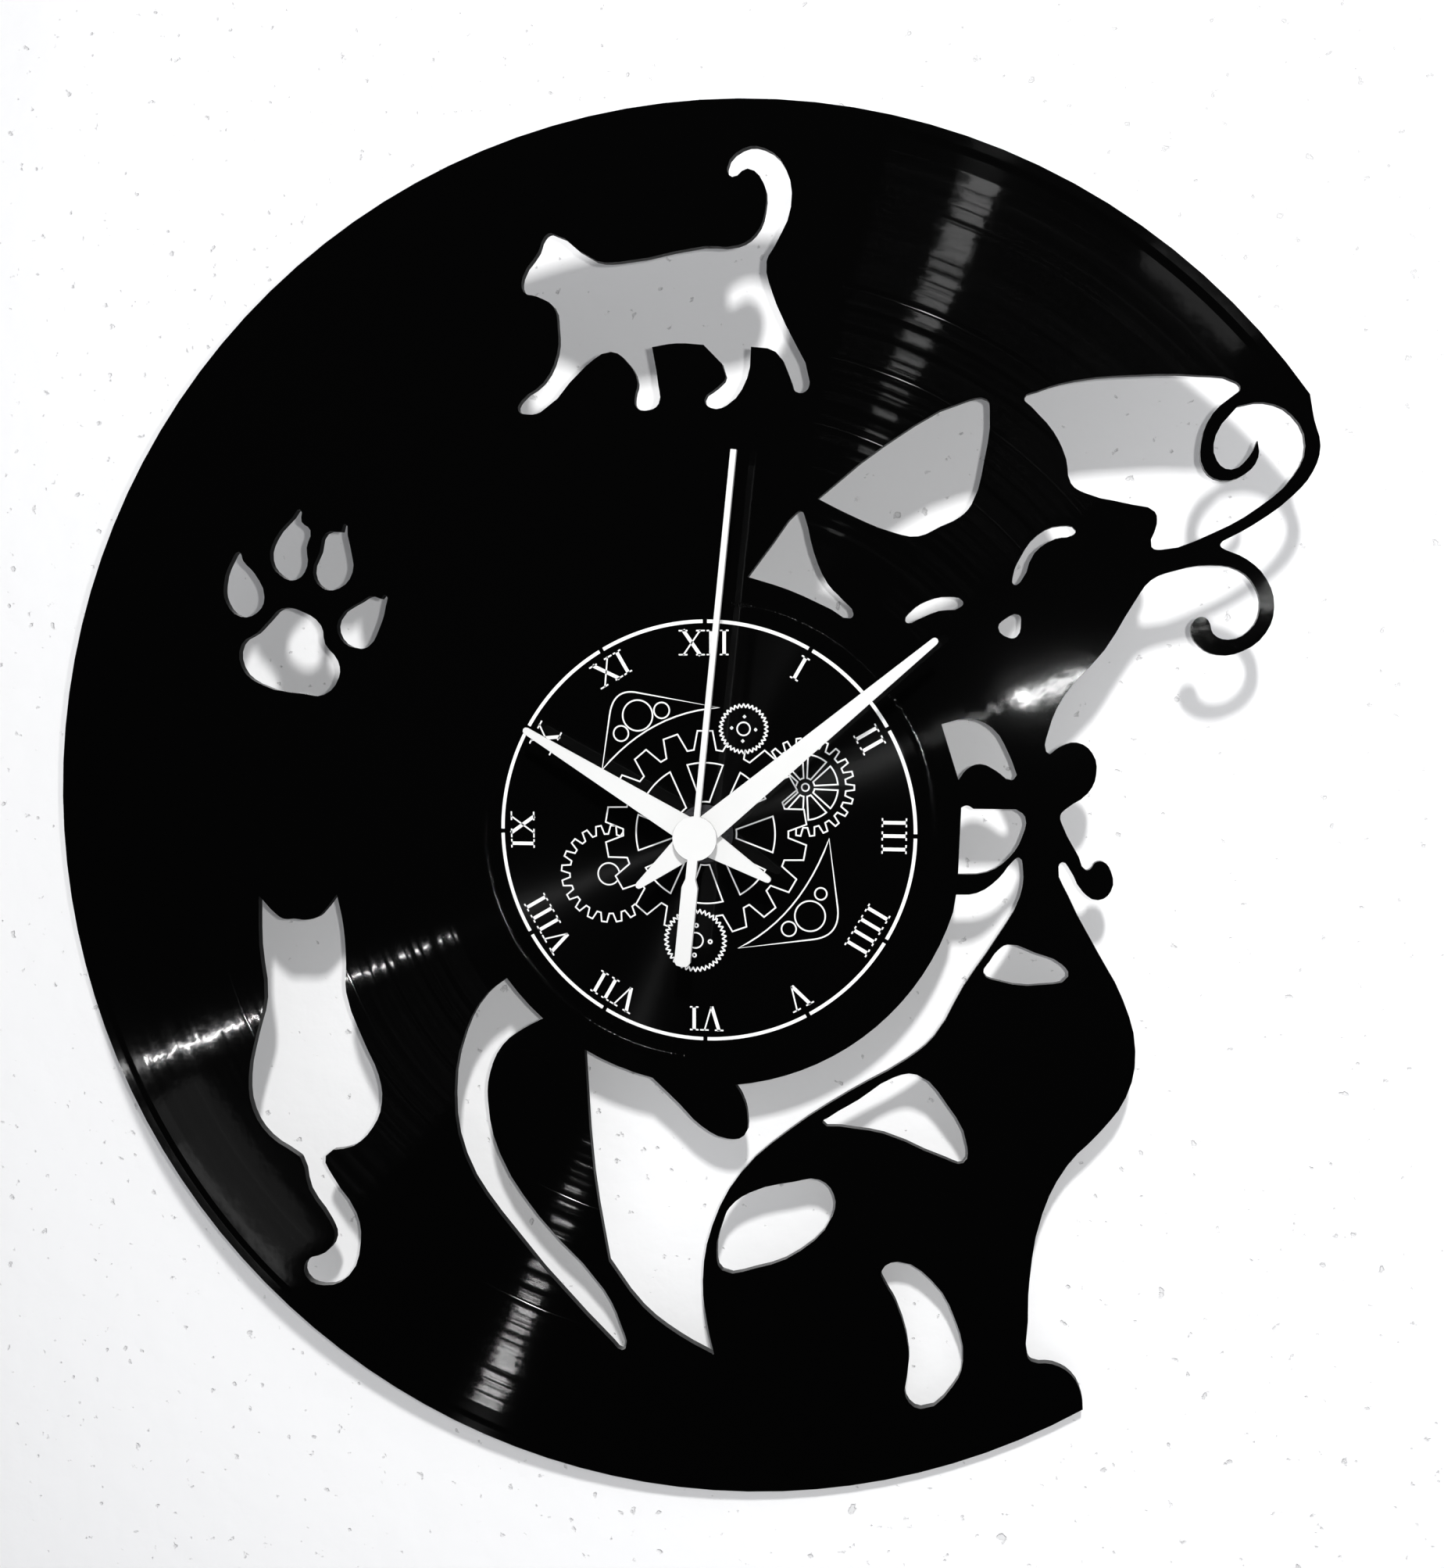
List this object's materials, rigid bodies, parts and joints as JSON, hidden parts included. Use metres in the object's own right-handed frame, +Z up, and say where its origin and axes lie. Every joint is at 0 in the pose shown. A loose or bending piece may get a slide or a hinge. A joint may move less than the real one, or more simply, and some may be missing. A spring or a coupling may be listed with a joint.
{
  "type": "wall clock",
  "caption": "Wall clock cut from a black vinyl record into a sitting cat with a raised tail, with a white Roman dial, three white hands and a quartz movement behind it.",
  "frame": {"origin": "centre of the hand axis on the back face of the movement's cover, which lies against the wall", "axes": "+Z up towards twelve o'clock, +X to the right seen from the front, +Y into the wall; the dial faces -Y"},
  "size_m": [0.275, 0.034, 0.3016],
  "materials": {
    "vinyl": "glossy pressed black vinyl with fine grooves",
    "white_metal": "matt white paint on stamped sheet",
    "white_plastic": "satin white moulding",
    "case_plastic": "fine-textured black moulding",
    "wheel_plastic": "natural acetal",
    "knob_plastic": "satin dark grey moulding",
    "steel": "plain rolled sheet and turned wire",
    "brass": "turned, uncoated",
    "dark_metal": "glossy black plating",
    "rubber": "matt black",
    "board": "green solder resist",
    "epoxy": "black potting drop",
    "magnet": "sintered, ground",
    "copper": "enamelled copper wire, wound",
    "bobbin": "natural moulding",
    "cell_sleeve": "printed sleeve without any mark"
  },
  "bodies": {
    "clock": {"record_disc": "vinyl", "rubber_gasket": "rubber", "hanger_plate": "steel", "dial_washer": "dark_metal", "hex_nut": "dark_metal", "front_case": "case_plastic", "threaded_bush": "brass", "middle_plate": "wheel_plastic", "back_cover": "case_plastic", "contact_positive": "steel", "contact_negative": "steel", "circuit_board": "board", "ic_blob": "epoxy", "quartz_crystal": "steel", "coil_bobbin": "bobbin", "coil_winding": "copper", "stator_plate": "steel", "motion_pin": "steel"},
    "second": {"second_hand": "white_plastic", "second_collet": "brass", "second_arbor": "steel", "second_wheel": "wheel_plastic", "second_pinion": "wheel_plastic"},
    "intermediate": {"intermediate_wheel": "wheel_plastic"},
    "rotor": {"rotor_magnet": "magnet", "rotor_pinion": "wheel_plastic"},
    "third": {"third_wheel": "wheel_plastic"},
    "drive": {"centre_drive_wheel": "wheel_plastic", "clutch_spring": "steel"},
    "minute": {"minute_tube": "brass", "cannon_pinion": "wheel_plastic", "minute_hand": "white_metal", "minute_collet": "white_metal"},
    "motion": {"motion_wheel": "wheel_plastic"},
    "hour": {"hour_wheel": "wheel_plastic", "hour_hand": "white_metal", "hour_collet": "white_metal"},
    "knob": {"setting_knob": "knob_plastic"},
    "cell": {"battery_cell": "cell_sleeve"}
  },
  "joints": [
    {"name": "seconds", "type": "hinge", "parent": "clock", "child": "second", "pos_m": [0, 0, 0], "axis": [0, 1, 0], "continuous": true},
    {"name": "intermediate_spin", "type": "hinge", "parent": "clock", "child": "intermediate", "pos_m": [0.00186, 0, 0.00695], "axis": [0, 1, 0], "continuous": true},
    {"name": "rotor_spin", "type": "hinge", "parent": "clock", "child": "rotor", "pos_m": [0.00501, 0, 0.01241], "axis": [0, 1, 0], "continuous": true},
    {"name": "third_spin", "type": "hinge", "parent": "clock", "child": "third", "pos_m": [0.00918, 0, 0], "axis": [0, 1, 0], "continuous": true},
    {"name": "drive_spin", "type": "hinge", "parent": "clock", "child": "drive", "pos_m": [0, 0, 0], "axis": [0, 1, 0], "continuous": true},
    {"name": "minutes", "type": "hinge", "parent": "clock", "child": "minute", "pos_m": [0, 0, 0], "axis": [0, 1, 0], "continuous": true},
    {"name": "motion_spin", "type": "hinge", "parent": "clock", "child": "motion", "pos_m": [-0.009, 0, 0], "axis": [0, 1, 0], "continuous": true},
    {"name": "hours", "type": "hinge", "parent": "clock", "child": "hour", "pos_m": [0, 0, 0], "axis": [0, 1, 0], "continuous": true},
    {"name": "knob_spin", "type": "hinge", "parent": "clock", "child": "knob", "pos_m": [-0.0135, 0, 0.00779], "axis": [0, 1, 0], "continuous": true},
    {"name": "cell_slide", "type": "slide", "parent": "clock", "child": "cell", "axis": [0, 1, 0], "range_m": [0, 0.02]}
  ],
  "couplings": [
    {"joint": "intermediate_spin", "follows": "seconds", "ratio": -5},
    {"joint": "rotor_spin", "follows": "seconds", "ratio": 30},
    {"joint": "third_spin", "follows": "seconds", "ratio": -0.13333},
    {"joint": "drive_spin", "follows": "seconds", "ratio": 0.016667},
    {"joint": "motion_spin", "follows": "minutes", "ratio": -0.33333},
    {"joint": "hours", "follows": "minutes", "ratio": 0.083333},
    {"joint": "knob_spin", "follows": "minutes", "ratio": 1}
  ]
}
